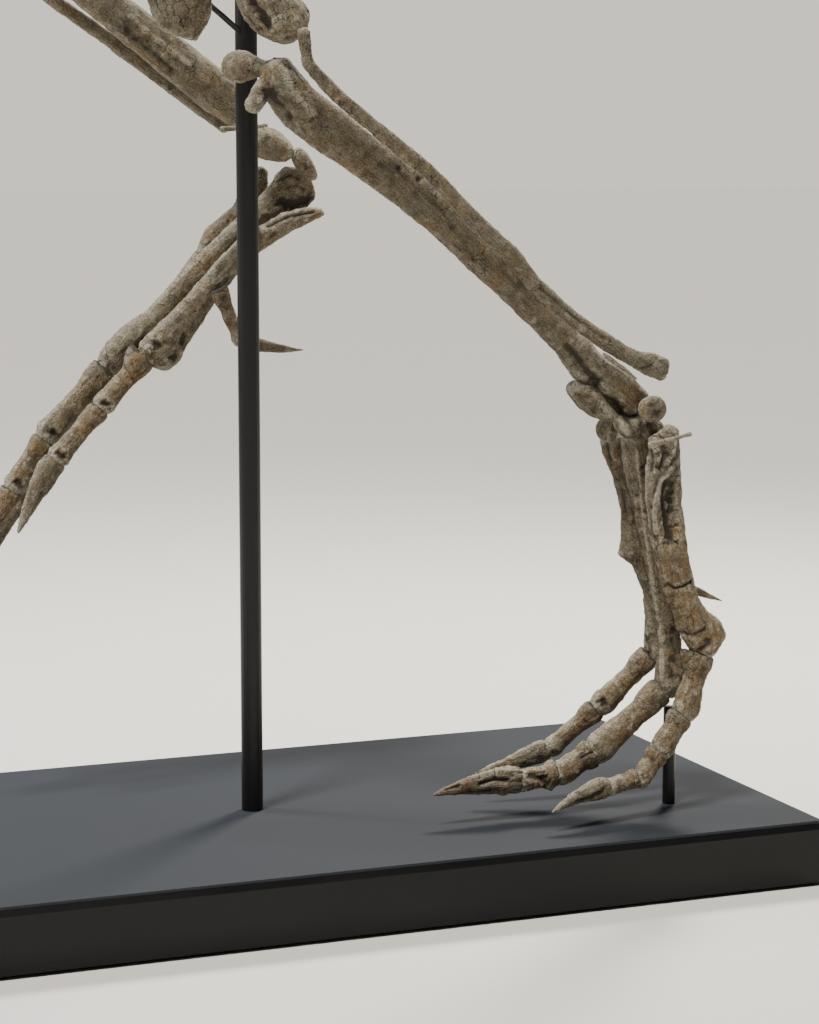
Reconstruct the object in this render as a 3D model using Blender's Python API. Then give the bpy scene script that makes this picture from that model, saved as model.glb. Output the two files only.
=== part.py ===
"""Mounted fossil hind legs of a two-legged dinosaur, with clawed feet, on a museum plinth.

The animal faces -X. The left leg is nearer to -Y and trails, the right leg is raised in front.
The origin is the middle of the plinth's underside, +Z is up, and lengths below are millimetres.
"""

import math

import bmesh
import bpy
import numpy as np
from mathutils import Vector

MM = 0.001
GAP = 0.3          # between two pieces that touch
JOINT_GAP = 1.2    # between a bone's rounded end and the hollow end of the next one

# Plinth
PANEL_LENGTH = 1228.0
PANEL_DEPTH = 600.0
PLINTH_HEIGHT = 78.0
PANEL_PROUD = 3.4
CHAMFER = 6.0
FOOT_HEIGHT = 4.0
FOOT_SET_BACK = 10.0

# Posts and the arms that hold the bones
POST_FOOT = PLINTH_HEIGHT + GAP
TALL_POST = {"start": (0, 0, POST_FOOT), "end": (0, 0, 1046), "radius": 13.0, "sides": 20}
SHORT_POST = {"start": (482, -158, POST_FOOT), "end": (482, -158, 198.5), "radius": 7.6, "sides": 20}
KNEE_ARM = {"start": (0, 0, 1020), "end": (-26, -124, 1016), "radius": 5.0, "sides": 12}
ANKLE_ARM = {"start": (0, 0, 802), "end": (46, 113, 793), "radius": 4.0, "sides": 12}
PUBIS_ROD = {"start": (0, 0, 998), "end": (-74, -42, 1046), "radius": 3.4, "sides": 12}

# Joints between the metatarsals and the toes, by toe number
LEFT_JOINTS = {1: (486, -103, 412), 2: (478, -127, 263), 3: (480, -158, 226), 4: (510, -189, 278)}
RIGHT_JOINTS = {1: (-19, 66, 712), 2: (-95, 90, 628), 3: (-134, 120, 615), 4: (-110, 150, 628)}
TOE_SPREAD = 12    # degrees between neighbouring toes, seen from above

# How the bones are laid out and meshed
NEAR_SIDE = Vector((0.0, -1.0, 0.0))
TOE_SIDES = 9
ROUTE_STEPS = 12               # points between two given points of a bone's line
HEADING_REACH = 0.03           # share of the line over which its direction is taken
CUP_ANGLE = math.radians(52)   # how far a hollow end reaches round the ball that it sits on
BALL_ANGLE = math.radians(48)  # where the last ring of a rounded end lies, from its widest ring
EDGE_ANGLE = math.radians(40)  # a sharper edge than this is not shaded smooth

# Form of a phalanx, as shares of the sizes at its two joints
BASE_WIDTH = 1.02       # hollow end, of the ball that it sits on
BASE_HEIGHT = 1.12
NECK_HEIGHT = 1.04      # front of the waist, of the waist's own height
WAIST_WIDTH = 0.40      # half width of the waist, of the two half widths together
WAIST_HEIGHT = 0.42
LIP = 0.10              # how far the hollow end's upper and lower lips stand out
SIDE_PIT = 0.22         # depth of the pit on each side of the rounded end
DIP = 0.06              # depth of the dip on top, in front of the waist

# Form of a claw: fraction of its length, then half width and half height as shares of its joint's
CLAW_FORM = [(0.0, 1.0, 1.15), (0.12, 0.98, 1.28), (0.28, 0.90, 1.20), (0.46, 0.74, 0.96),
             (0.64, 0.56, 0.72), (0.82, 0.38, 0.47), (1.0, 0.12, 0.15)]
CLAW_STEPS = 6          # straight steps that its curve is laid out in
CLAW_GROOVE = 0.12      # depth of the groove along each side, of the half width
CLAW_HEEL = 0.14        # height of the knob under its base, of the half height


def material(name, colour, roughness, metallic=0.0):
    """A Principled material from an sRGB hex colour."""
    found = bpy.data.materials.new(name)
    found.use_nodes = True
    shader = found.node_tree.nodes["Principled BSDF"]
    channels = [int(colour[i:i + 2], 16) / 255 for i in (1, 3, 5)]
    linear = [c / 12.92 if c <= 0.04045 else ((c + 0.055) / 1.055) ** 2.4 for c in channels]
    shader.inputs["Base Color"].default_value = (*linear, 1.0)
    shader.inputs["Roughness"].default_value = roughness
    shader.inputs["Metallic"].default_value = metallic
    return found


def place(name, mesh, finish, smooth=True):
    """Puts a mesh in the scene as one named sub-part, its faces turned outwards."""
    work = bmesh.new()
    work.from_mesh(mesh)
    bmesh.ops.recalc_face_normals(work, faces=work.faces)
    work.to_mesh(mesh)
    work.free()
    if smooth:
        mesh.shade_smooth()
        mesh.set_sharp_from_angle(angle=EDGE_ANGLE)
    mesh.materials.append(finish)
    piece = bpy.data.objects.new(name, mesh)
    bpy.context.scene.collection.objects.link(piece)
    return piece


def box(name, low, high, finish, chamfer=0.0):
    """A box between two corners, with its upper edges chamfered where a width is given."""
    work = bmesh.new()
    bmesh.ops.create_cube(work, size=1.0)
    for vertex in work.verts:
        for axis in range(3):
            middle = (low[axis] + high[axis]) / 2
            vertex.co[axis] = (middle + vertex.co[axis] * (high[axis] - low[axis])) * MM
    if chamfer:
        top = high[2] * MM
        edges = [e for e in work.edges if all(abs(v.co.z - top) < 1e-6 for v in e.verts)]
        bmesh.ops.bevel(work, geom=edges, offset=chamfer * MM, segments=1, affect="EDGES")
    mesh = bpy.data.meshes.new(name)
    work.to_mesh(mesh)
    work.free()
    return place(name, mesh, finish, smooth=False)


def rod(name, start, end, radius, finish, sides=16, bevel=0.6):
    """A straight round bar with its end edges broken."""
    start, end = Vector(start), Vector(end)
    along = (end - start).normalized()
    across = along.orthogonal().normalized()
    other = along.cross(across)
    stations = [(start, radius - bevel), (start + along * bevel, radius),
                (end - along * bevel, radius), (end, radius - bevel)]
    rings = []
    for middle, size in stations:
        ring = []
        for step in range(sides):
            angle = 2 * math.pi * step / sides
            ring.append(middle + (across * math.cos(angle) + other * math.sin(angle)) * size)
        rings.append(ring)
    return place(name, skin(name, rings), finish)


def skin(name, rings, first_tip=None, last_tip=None):
    """Joins rings of points into one closed mesh, in metres, with a cap or a tip at each end."""
    points = [p * MM for ring in rings for p in ring]
    sides = len(rings[0])
    faces = []
    for low in range(0, (len(rings) - 1) * sides, sides):
        for step in range(sides):
            after = (step + 1) % sides
            faces.append((low + step, low + after, low + sides + after, low + sides + step))
    for base, tip, turn in ((0, first_tip, -1), ((len(rings) - 1) * sides, last_tip, 1)):
        rim = [base + step for step in range(sides)]
        if tip is None:
            faces.append(rim[::turn])
            continue
        points.append(tip * MM)
        for step in range(sides):
            corners = (rim[step], rim[(step + 1) % sides], len(points) - 1)
            faces.append(corners[::turn])
    mesh = bpy.data.meshes.new(name)
    mesh.from_pydata([tuple(p) for p in points], [], faces)
    return mesh


def side_view(y, *points):
    """Points (x, z) of a bone that lies in one upright plane, as points in space."""
    return [(x, y, z) for x, z in points]


class Route:
    """A smooth line through a few points, read by the fraction of its length."""

    def __init__(self, points):
        points = [Vector(p) for p in points]
        ends = [points[0] * 2 - points[1], *points, points[-1] * 2 - points[-2]]
        dense = []
        for a, b, c, d in zip(ends, ends[1:], ends[2:], ends[3:]):
            for step in range(ROUTE_STEPS):
                t = step / ROUTE_STEPS
                dense.append(0.5 * (2 * b + (c - a) * t + (2 * a - 5 * b + 4 * c - d) * t ** 2
                                    + (3 * b - a - 3 * c + d) * t ** 3))
        dense.append(points[-1])
        self.points = np.array([tuple(p) for p in dense])
        steps = np.linalg.norm(np.diff(self.points, axis=0), axis=1)
        self.reach = np.concatenate([[0.0], np.cumsum(steps)])
        self.length = self.reach[-1]

    def at(self, fraction):
        distance = fraction * self.length
        return Vector([float(np.interp(distance, self.reach, self.points[:, k])) for k in range(3)])

    def heading(self, fraction):
        after = self.at(min(fraction + HEADING_REACH, 1.0))
        before = self.at(max(fraction - HEADING_REACH, 0.0))
        return (after - before).normalized()


def swelling(marks, where, angle):
    """The sum of the knobs (positive) and pits (negative) at one point of a bone's surface, in mm."""
    total = 0.0
    for place_along, spread_along, facing, spread_round, height in marks:
        turn = (math.degrees(angle) - facing + 180) % 360 - 180
        total += height * math.exp(-((where - place_along) / spread_along) ** 2
                                   - (turn / spread_round) ** 2)
    return total


def bone(name, route, girths, finish, sides=12, marks=(), side=NEAR_SIDE, cup=None, ball=None,
         tips=(0.35, 0.35), squareness=2.2, lumps=0.5):
    """One bone, skinned over rings along its route.

    girths: rows of (fraction of the route, half width across, half depth front to back, and
    optionally how far the ring is pushed to the front and to the near side).
    Angles round a ring: 0 faces the near side, 90 the front or top, 180 the far side, 270 the back.
    cup: (half width, half depth) of the ball that the first end sits on, round the route's start.
    ball: True gives the last end a rounded ball, round the route's end.
    tips: how far each plain end bulges, as a share of its half depth.
    """
    line = Route(route)
    wave = np.random.RandomState(sum(ord(letter) * (7 + k) for k, letter in enumerate(name)))
    phases = wave.uniform(0, 2 * math.pi, (4, 3))
    turns = wave.randint(1, 5, (4, 2))
    rings = []

    def ring(middle, heading, across, deep, push=0.0, shift=0.0, where=None):
        side_way = (side - heading * side.dot(heading)).normalized()
        front = heading.cross(side_way).normalized()
        middle = middle + front * push + side_way * shift
        points = []
        for step in range(sides):
            angle = 2 * math.pi * step / sides
            c, s = math.cos(angle), math.sin(angle)
            reach = (abs(c) ** squareness + abs(s) ** squareness) ** (-1 / squareness)
            extra = 0.0
            if where is not None:
                extra = swelling(marks, where, angle)
                for (a, b, d), (along, around) in zip(phases, turns):
                    extra += lumps * 0.5 * math.sin(3 * along * where * math.pi + a) * math.sin(
                        around * angle + b)
            size = Vector((c * across * reach, s * deep * reach))
            size += size.normalized() * extra
            points.append(middle + side_way * size.x + front * size.y)
        return points

    first_tip = None
    rim = 0.0
    heading = line.heading(0.0)
    start = line.at(0.0)
    if cup:
        wide, deep = cup[0] + JOINT_GAP, cup[1] + JOINT_GAP
        rim = deep * math.cos(CUP_ANGLE) / line.length
        first_tip = start + heading * deep
        for angle in (CUP_ANGLE * 0.5, CUP_ANGLE):
            middle = start + heading * deep * math.cos(angle)
            rings.append(ring(middle, heading, wide * math.sin(angle), deep * math.sin(angle)))
    for fraction, across, deep, *moves in girths:
        where = rim + fraction * (1 - rim)
        push, shift = (*moves, 0.0, 0.0)[:2]
        rings.append(ring(line.at(where), line.heading(where), across, deep, push, shift, fraction))
    if not cup:
        push, shift = (*girths[0][3:], 0.0, 0.0)[:2]
        near = ring(start, heading, 1.0, 1.0, push, shift)
        first_tip = sum(near, Vector()) / sides - heading * girths[0][2] * tips[0]
    end, heading = line.at(1.0), line.heading(1.0)
    across, deep, *moves = girths[-1][1:]
    push, shift = (*moves, 0.0, 0.0)[:2]
    if ball:
        rise, shrink = math.sin(BALL_ANGLE), math.cos(BALL_ANGLE)
        rings.append(ring(end + heading * deep * rise, heading, across * shrink, deep * shrink,
                          push, shift))
        last_tip = end + heading * deep
    else:
        near = ring(end, heading, 1.0, 1.0, push, shift)
        last_tip = sum(near, Vector()) / sides + heading * deep * tips[1]
    return place(name, skin(name, rings, first_tip, last_tip), finish)


def toe(prefix, start, yaw, phalanges, balls, finish, first_ball, heel=0.0):
    """A chain of phalanges and a claw.

    start: the joint on the foot, yaw: degrees the toe turns to the near side from -X.
    phalanges: rows of (length, pitch in degrees), the last one the claw with its tip's pitch.
    balls: (half width, half depth) of the rounded end of each phalanx but the claw.
    heel: how far the first phalanx's lower lip stands out behind the joint.
    """
    flat = Vector((-math.cos(math.radians(yaw)), -math.sin(math.radians(yaw)), 0.0))
    side = Vector((flat.y, -flat.x, 0.0))
    joint = Vector(start)
    cup = first_ball
    for number, ((length, pitch), ball) in enumerate(zip(phalanges, balls), 1):
        way = flat * math.cos(math.radians(pitch)) + Vector((0, 0, math.sin(math.radians(pitch))))
        after = joint + way * length
        wide, tall = cup
        end_wide, end_tall = ball
        base, base_tall = wide * BASE_WIDTH, tall * BASE_HEIGHT
        waist = WAIST_WIDTH * (wide + end_wide)
        waist_tall = WAIST_HEIGHT * (tall + end_tall)
        girths = [(0.0, base, base_tall), (0.16, base, base_tall * 0.98),
                  (0.38, waist, waist_tall * NECK_HEIGHT), (0.60, waist, waist_tall),
                  (0.82, end_wide * 0.98, end_tall * 0.97), (1.0, end_wide, end_tall)]
        marks = [(0.05, 0.12, 90, 35, tall * LIP), (0.10, 0.14, 270, 40, tall * LIP),
                 (0.93, 0.10, 0, 32, -end_wide * SIDE_PIT),
                 (0.93, 0.10, 180, 32, -end_wide * SIDE_PIT), (0.62, 0.14, 90, 30, -tall * DIP)]
        if number == 1:
            marks.append((0.04, 0.14, 270, 44, heel))
        bone(f"{prefix}_phalanx_{number}", [joint, after], girths, finish, sides=TOE_SIDES,
             marks=marks, side=side, cup=cup, ball=True)
        joint, cup = after, ball
    length, pitch, tip_pitch = phalanges[-1]
    claw(f"{prefix}_claw", joint, flat, side, length, pitch, tip_pitch, cup, finish)


def claw(name, joint, flat, side, length, pitch, tip_pitch, cup, finish):
    """A tapering claw, flattened from side to side, with a groove along each side."""
    route = [joint]
    for step in range(CLAW_STEPS):
        angle = math.radians(pitch + (tip_pitch - pitch) * (step + 0.5) / CLAW_STEPS)
        way = flat * math.cos(angle) + Vector((0, 0, math.sin(angle)))
        route.append(route[-1] + way * length / CLAW_STEPS)
    wide, tall = cup
    girths = [(fraction, wide * share, tall * tall_share) for fraction, share, tall_share in CLAW_FORM]
    marks = [(0.45, 0.35, 0, 24, -wide * CLAW_GROOVE), (0.45, 0.35, 180, 24, -wide * CLAW_GROOVE),
             (0.14, 0.10, 270, 35, tall * CLAW_HEEL)]
    bone(name, route, girths, finish, sides=TOE_SIDES, marks=marks, side=side, cup=cup, lumps=0.3,
         tips=(0.35, 1.0), squareness=2.0)


def combine(piece, other, operation):
    """Adds a helper solid to a piece, or cuts it away, and leaves only the piece."""
    step = piece.modifiers.new(other.name, "BOOLEAN")
    step.operation = operation
    step.object = other
    step.solver = "EXACT"
    other.hide_render = True
    other.display_type = "WIRE"


def clear_of(piece, bar, finish):
    """Cuts a round bar, a gap wider all round, out of a piece."""
    start, end = Vector(bar["start"]), Vector(bar["end"])
    over = (end - start).normalized() * GAP
    cutter = rod(f"{piece.name}_cutter", start - over, end + over, bar["radius"] + GAP, finish,
                 sides=bar["sides"])
    combine(piece, cutter, "DIFFERENCE")


def build_stand(board, lacquer, steel):
    """The plinth, the two posts and the arms that reach the bones."""
    half_x, half_y = PANEL_LENGTH / 2, PANEL_DEPTH / 2
    outer_x, outer_y = half_x + CHAMFER, half_y + CHAMFER
    box_top = PLINTH_HEIGHT - PANEL_PROUD
    inner_x, inner_y = outer_x - FOOT_SET_BACK, outer_y - FOOT_SET_BACK
    box("foot_board", (-inner_x, -inner_y, 0), (inner_x, inner_y, FOOT_HEIGHT), lacquer)
    box("plinth_box", (-outer_x, -outer_y, FOOT_HEIGHT + GAP), (outer_x, outer_y, box_top),
        lacquer, CHAMFER)
    box("top_panel", (-half_x, -half_y, box_top + GAP), (half_x, half_y, PLINTH_HEIGHT), board)
    for name, post in (("tall_post", TALL_POST), ("short_post", SHORT_POST)):
        rod(name, post["start"], post["end"], post["radius"], steel, sides=post["sides"])
    for name, arm in (("knee_arm", KNEE_ARM), ("ankle_arm", ANKLE_ARM), ("pubis_rod", PUBIS_ROD)):
        piece = rod(name, arm["start"], arm["end"], arm["radius"], steel, sides=arm["sides"])
        clear_of(piece, TALL_POST, steel)


def build_knee(fossil):
    """The left femur's lower end and the stub of the pubis, both cut off by the picture's top."""
    femur = bone("left_femur_end",
                 [(-46, -148, 1112), (-44, -148, 1070), (-32, -149, 1031), (11, -150, 1001)],
                 [(0.0, 22, 22), (0.28, 22, 23), (0.50, 24, 24), (0.62, 29, 26), (0.78, 33, 30),
                  (0.91, 31, 28), (1.0, 24, 22)],
                 fossil, sides=12, lumps=1.4, tips=(0.2, 0.5),
                 marks=[(0.66, 0.10, 90, 40, 3), (0.9, 0.14, 90, 24, -6), (0.0, 0.05, 40, 50, 3)])
    clear_of(femur, KNEE_ARM, fossil)
    pubis = bone("pubis_end", side_view(-46, (-92, 1104), (-93, 1066), (-91, 1032), (-80, 1003)),
                 [(0.0, 11, 43), (0.3, 13, 43), (0.55, 14, 40), (0.75, 14, 37), (0.9, 13, 31),
                  (1.0, 9, 21)],
                 fossil, sides=14, lumps=1.0, tips=(0.1, 0.7), marks=[(0.0, 0.08, 60, 60, 3)])
    clear_of(pubis, PUBIS_ROD, fossil)


def build_left_shin(fossil):
    """Tibia, fibula and the loose splinter that stands between their lower ends."""
    tibia = bone("left_tibia",
                 side_view(-150, (-16, 966), (-7, 936), (16, 912), (49, 889), (86, 864), (131, 835),
                           (179, 795), (232, 749), (277, 709), (310, 677), (343, 641), (374, 609),
                           (404, 589), (430, 567)),
                 [(0.0, 17, 15), (0.04, 22, 24), (0.10, 21, 27), (0.17, 18, 26), (0.25, 16, 24.5),
                  (0.34, 15, 23.5), (0.44, 14.5, 22.5), (0.56, 14.5, 21.5), (0.66, 15, 20),
                  (0.74, 16.5, 17.5), (0.82, 19, 16), (0.89, 22, 17.5), (0.95, 23.5, 18.5),
                  (1.0, 22, 17)],
                 fossil, sides=14, lumps=1.3, tips=(0.95, 0.2),
                 marks=[(0.30, 0.06, 90, 40, 1.6), (0.84, 0.05, 30, 30, -3), (0.90, 0.04, 0, 35, 2),
                        (0.62, 0.03, 300, 40, 2), (0.05, 0.04, 200, 40, 4)])
    crest = bone("left_cnemial_crest",
                 [(-16, -150, 948), (-29, -152, 935), (-39, -153, 921), (-46, -153, 911)],
                 [(0.0, 9, 12), (0.4, 9, 11), (0.7, 8.5, 10.5), (0.9, 7.5, 10), (1.0, 5.5, 7)],
                 fossil, sides=10, lumps=0.6)
    knob = bone("left_tibia_knob",
                [(-16, -148, 958), (-28, -134, 959), (-40, -121, 960), (-59, -100, 961)],
                [(0.0, 10, 10), (0.30, 10, 11), (0.44, 14, 14), (0.58, 18, 18), (0.74, 19.5, 19.5),
                 (0.90, 15, 15), (1.0, 8, 8)],
                fossil, sides=10, lumps=0.6)
    combine(tibia, crest, "UNION")
    combine(tibia, knob, "UNION")
    bone("left_fibula",
         [(3, -193, 998), (5, -191, 971), (20, -185, 948), (47, -181, 926), (76, -180, 904),
          (115, -179, 877), (158, -178, 843), (207, -178, 797), (251, -178, 754), (282, -179, 723),
          (312, -181, 690), (360, -184, 657), (408, -186, 628), (454, -186, 610)],
         [(0.0, 6, 7), (0.06, 6.5, 7), (0.14, 6.5, 7.5), (0.22, 6.5, 8.5), (0.38, 6, 8.5),
          (0.50, 6, 8.5), (0.60, 6, 9), (0.68, 6.5, 9.5), (0.78, 6.5, 9.5), (0.88, 7.5, 10),
          (0.93, 8, 10), (0.97, 9, 13), (1.0, 9, 13)],
         fossil, sides=10, lumps=0.9,
         marks=[(0.60, 0.03, 270, 50, 3), (0.98, 0.025, 270, 50, 4)])
    bone("left_bone_splinter", [(366, -201, 634), (388, -202, 618), (410, -202, 603)],
         [(0.0, 1.6, 1.6), (0.15, 2.2, 3.4), (0.6, 2.0, 3.0), (1.0, 1.2, 1.2)],
         fossil, sides=6, lumps=0.2)


def build_left_ankle(fossil):
    """The small bones between the shin and the foot."""
    bone("left_astragalus", side_view(-150, (348, 590), (367, 574), (387, 560), (402, 555)),
         [(0.0, 12, 5.5), (0.15, 18, 8.5), (0.4, 23, 11), (0.7, 23, 9.5), (1.0, 16, 4.5)],
         fossil, sides=12, lumps=0.8, marks=[(0.02, 0.05, 270, 60, 2)])
    bone("left_calcaneum", [(443, -191, 565), (443, -185, 565), (443, -179, 565)],
         [(0.0, 13, 12), (0.25, 18, 15.5), (0.75, 18, 15.5), (1.0, 14, 12)],
         fossil, sides=12, side=Vector((-1, 0, 0)), lumps=0.4)
    bone("left_inner_tarsal", side_view(-132, (407, 546), (406, 539), (407, 531)),
         [(0.0, 11, 10), (0.4, 13, 13), (1.0, 11, 11)], fossil, sides=10, lumps=0.6)
    bone("left_middle_tarsal", side_view(-166, (418, 548), (419, 543), (420, 538)),
         [(0.0, 13, 13), (0.4, 16, 15), (1.0, 12, 11)], fossil, sides=10, lumps=0.8,
         tips=(0.2, 0.2))
    bone("left_outer_tarsal", side_view(-170, (446, 546), (446, 542), (446, 538)),
         [(0.0, 12, 11), (0.4, 14, 14), (1.0, 12, 12)], fossil, sides=10, lumps=0.8,
         tips=(0.2, 0.2))


def build_left_foot(fossil):
    """Metatarsals from the inner side outwards, then the toes. The claws hover above the panel."""
    inner, middle, outer = LEFT_JOINTS[2], LEFT_JOINTS[3], LEFT_JOINTS[4]
    bone("left_metatarsal_1", [(468, -107, 474), (477, -104, 444), (484, -103, 419)],
         [(0.0, 1.5, 2), (0.3, 3.5, 5), (0.75, 4, 6), (1.0, 4, 6)], fossil, sides=8, lumps=0.4)
    bone("left_metatarsal_2",
         side_view(inner[1], (411, 522), (421, 500), (437, 462), (446, 420), (459, 375),
                   (473, 338), (480, 300), (inner[0], inner[2])),
         [(0.0, 14, 14, -2), (0.06, 14.5, 15, -2), (0.16, 13, 12, -1), (0.32, 12, 12),
          (0.45, 12, 12), (0.51, 12, 12), (0.57, 12, 12), (0.70, 11.5, 11.5), (0.87, 13, 13),
          (1.0, 12.5, 12.5)],
         fossil, sides=12, ball=True, lumps=1.0,
         marks=[(0.495, 0.05, 95, 45, 19), (0.30, 0.10, 60, 25, -3)])
    bone("left_metatarsal_3",
         side_view(middle[1], (430, 523), (434, 490), (444, 453), (455, 404), (465, 367),
                   (474, 330), (481, 283), (482, 250), (middle[0], middle[2])),
         [(0.0, 13.5, 16), (0.06, 14, 17), (0.15, 13, 15), (0.30, 12.5, 14), (0.46, 12, 13),
          (0.62, 12, 12.5), (0.76, 12, 12), (0.88, 13.5, 13), (0.95, 14.6, 15), (1.0, 14.5, 15)],
         fossil, sides=12, ball=True, lumps=1.0,
         marks=[(0.84, 0.10, 20, 40, -2.5), (0.2, 0.1, 70, 25, -2)])
    bone("left_metatarsal_4",
         side_view(outer[1], (464, 542), (455, 508), (454, 467), (459, 420), (467, 378),
                   (481, 338), (495, 309), (504, 292), (outer[0], outer[2])),
         [(0.0, 9, 7.5), (0.04, 11, 11), (0.09, 13.5, 18), (0.14, 14.5, 21), (0.20, 15, 22), (0.29, 15, 22.5),
          (0.38, 14.5, 22), (0.50, 14, 21), (0.62, 13.5, 19.5), (0.70, 13.5, 18.5),
          (0.79, 14, 17.5), (0.87, 15, 18), (0.94, 14.5, 18), (1.0, 13.5, 16)],
         fossil, sides=14, ball=True, lumps=1.0,
         marks=[(0.15, 0.07, 345, 30, -8), (0.32, 0.09, 335, 28, -10), (0.27, 0.06, 18, 14, 4),
                (0.55, 0.014, 330, 70, -2), (0.99, 0.09, 272, 48, 14), (0.93, 0.05, 0, 30, -3)])
    bone("left_metatarsal_5", [(423, -211, 525), (446, -213, 530), (476, -214, 537)],
         [(0.0, 2.2, 4), (0.3, 2.4, 3), (0.85, 2, 2.2), (1.0, 2.4, 3.4)],
         fossil, sides=6, lumps=0.3)

    toe("left_toe_1", LEFT_JOINTS[1], 0, [(72, -107), (82, -158, -158)], [(5.5, 6)], fossil, (8, 9))
    toe("left_toe_2", inner, -TOE_SPREAD, [(92, -44), (81, -40), (100, -22, -12)],
        [(12, 14), (10, 10.5)], fossil, (13, 13.5), heel=4)
    toe("left_toe_3", middle, 0, [(115, -37.5), (54, -28), (50, -8), (121, 5, -12)],
        [(15, 18), (14.5, 15), (12.5, 13)], fossil, (15, 16), heel=3)
    toe("left_toe_4", outer, TOE_SPREAD,
        [(78, -71), (55, -51), (46, -47), (46, -8), (91, 2, -26)],
        [(13.5, 16.5), (12.5, 15), (11.5, 12), (10, 10)], fossil, (14, 17), heel=15)


def build_right_shin(fossil):
    """Tibia, fibula, ankle bones and a splint. The knee end is a guess: it is out of the picture."""
    bone("right_tibia",
         side_view(120, (-401, 1226), (-372, 1198), (-330, 1173), (-230, 1104), (-128, 1034),
                   (-78, 997), (-29, 960), (12, 928), (33, 912)),
         [(0.0, 20, 26), (0.04, 25, 34), (0.10, 23, 28), (0.18, 18, 22), (0.34, 16, 20),
          (0.50, 16, 20.5), (0.64, 17, 22), (0.76, 19, 23.5), (0.86, 23, 25), (0.94, 26, 25),
          (1.0, 25, 20)],
         fossil, sides=14, lumps=1.4,
         marks=[(0.07, 0.05, 92, 30, 24), (0.80, 0.04, 60, 40, 2), (0.9, 0.04, 20, 40, -3)])
    bone("right_fibula",
         [(-388, 158, 1196), (-340, 154, 1150), (-250, 148, 1082), (-150, 148, 1010),
          (-110, 150, 982), (-61, 151, 950), (-11, 153, 920), (26, 153, 896)],
         [(0.0, 8, 14), (0.06, 8.5, 15), (0.18, 7, 9), (0.45, 6.5, 8), (0.7, 7, 9),
          (0.9, 8, 10), (1.0, 8.5, 11)],
         fossil, sides=10, lumps=0.9)
    bone("right_bone_splint", [(-6, 82, 893), (24, 81, 894), (53, 82, 898)],
         [(0.0, 2, 3.6), (0.2, 2, 3.4), (0.7, 2, 2.8), (1.0, 1.6, 2.2)],
         fossil, sides=6, lumps=0.2)
    bone("right_astragalus", side_view(112, (40, 884), (62, 877), (86, 868)),
         [(0.0, 20, 11), (0.2, 24, 15), (0.55, 25, 17), (0.85, 23, 13), (1.0, 18, 8)],
         fossil, sides=12, lumps=1.6)
    bone("right_tarsal", side_view(98, (95, 867), (103, 861), (110, 850), (118, 834)),
         [(0.0, 9, 5.5), (0.25, 10, 8), (0.6, 9, 7), (1.0, 7, 4.5)], fossil, sides=10, lumps=0.6)


def build_right_foot(fossil):
    """Metatarsals from the inner side outwards, then the toes, hanging from the ankle."""
    inner, middle, outer = RIGHT_JOINTS[2], RIGHT_JOINTS[3], RIGHT_JOINTS[4]
    bone("right_metatarsal_1", [(18, 71, 763), (-6, 67, 738), (-24, 66, 718)],
         [(0.0, 1.5, 2), (0.2, 3, 4.5), (0.7, 4, 6), (1.0, 4, 6)], fossil, sides=8, lumps=0.4)
    bone("right_metatarsal_2",
         [(129, 92, 793), (107, 91, 791), (77, 90, 780), (48, 90, 763), (19, 90, 742),
          (-19, 90, 704), (-44, 90, 679), (-70, 90, 652), inner],
         [(0.0, 6, 5), (0.06, 10, 9), (0.18, 12, 12.5), (0.28, 12.5, 13.5), (0.40, 13, 13.5),
          (0.52, 12.5, 13.5), (0.64, 12.5, 14), (0.76, 13, 17, -4), (0.87, 13.5, 20, -6),
          (0.95, 13, 17, -2), (1.0, 12.6, 13.4)],
         fossil, sides=14, ball=True, lumps=1.1,
         marks=[(0.36, 0.07, 310, 30, -4), (0.84, 0.05, 320, 30, -6), (0.985, 0.06, 268, 38, 19),
                (0.95, 0.04, 0, 26, -3)])
    third = bone("right_metatarsal_3",
                 side_view(middle[1], (104, 842), (88, 814), (42, 783), (-2, 744), (-41, 706),
                           (-73, 671), (-108, 640), (middle[0], middle[2])),
                 [(0.0, 11, 19, -1), (0.05, 12, 29, -5), (0.12, 13, 28, -6), (0.21, 13.5, 18, -2),
                  (0.33, 13, 13), (0.48, 13, 12.5), (0.64, 13, 12.5), (0.78, 13.5, 14),
                  (0.88, 14.5, 17, 2), (0.95, 14.5, 17.5, 1), (1.0, 14.2, 16)],
                 fossil, sides=13, ball=True, lumps=1.1,
                 marks=[(0.10, 0.07, 318, 28, -9), (0.04, 0.05, 282, 20, 5),
                        (0.94, 0.05, 0, 26, -3)])
    clear_of(third, ANKLE_ARM, fossil)
    bone("right_metatarsal_4",
         side_view(outer[1], (68, 846), (60, 824), (41, 790), (8, 755), (-23, 719), (-49, 683),
                   (-83, 648), (outer[0], outer[2])),
         [(0.0, 10, 9), (0.08, 13.5, 15), (0.2, 13.5, 13.5), (0.32, 12.5, 12), (0.38, 12.5, 12),
          (0.45, 12.5, 12), (0.6, 12.5, 11.5), (0.8, 13, 13), (0.93, 13.5, 14), (1.0, 13, 13.4)],
         fossil, sides=12, ball=True, lumps=1.0, marks=[(0.36, 0.055, 90, 44, 12)])

    toe("right_toe_1", RIGHT_JOINTS[1], 0, [(76, -112), (84, -162, -178)], [(6.5, 7)], fossil,
        (9, 11))
    toe("right_toe_2", inner, TOE_SPREAD - 2, [(84, -44), (84, -45), (105, -50, -66)],
        [(12, 12.5), (11, 12)], fossil, (13, 14), heel=14)
    toe("right_toe_3", middle, 0, [(113, -46.5), (73, -55), (55, -57), (115, -50, -72)],
        [(14, 15), (13, 13.5), (12, 12.5)], fossil, (15, 16))
    toe("right_toe_4", outer, -TOE_SPREAD,
        [(78, -50), (55, -54), (46, -58), (46, -58), (91, -54, -76)],
        [(13, 13.5), (12, 12.5), (11, 11.5), (10, 10)], fossil, (13.5, 14))


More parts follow.
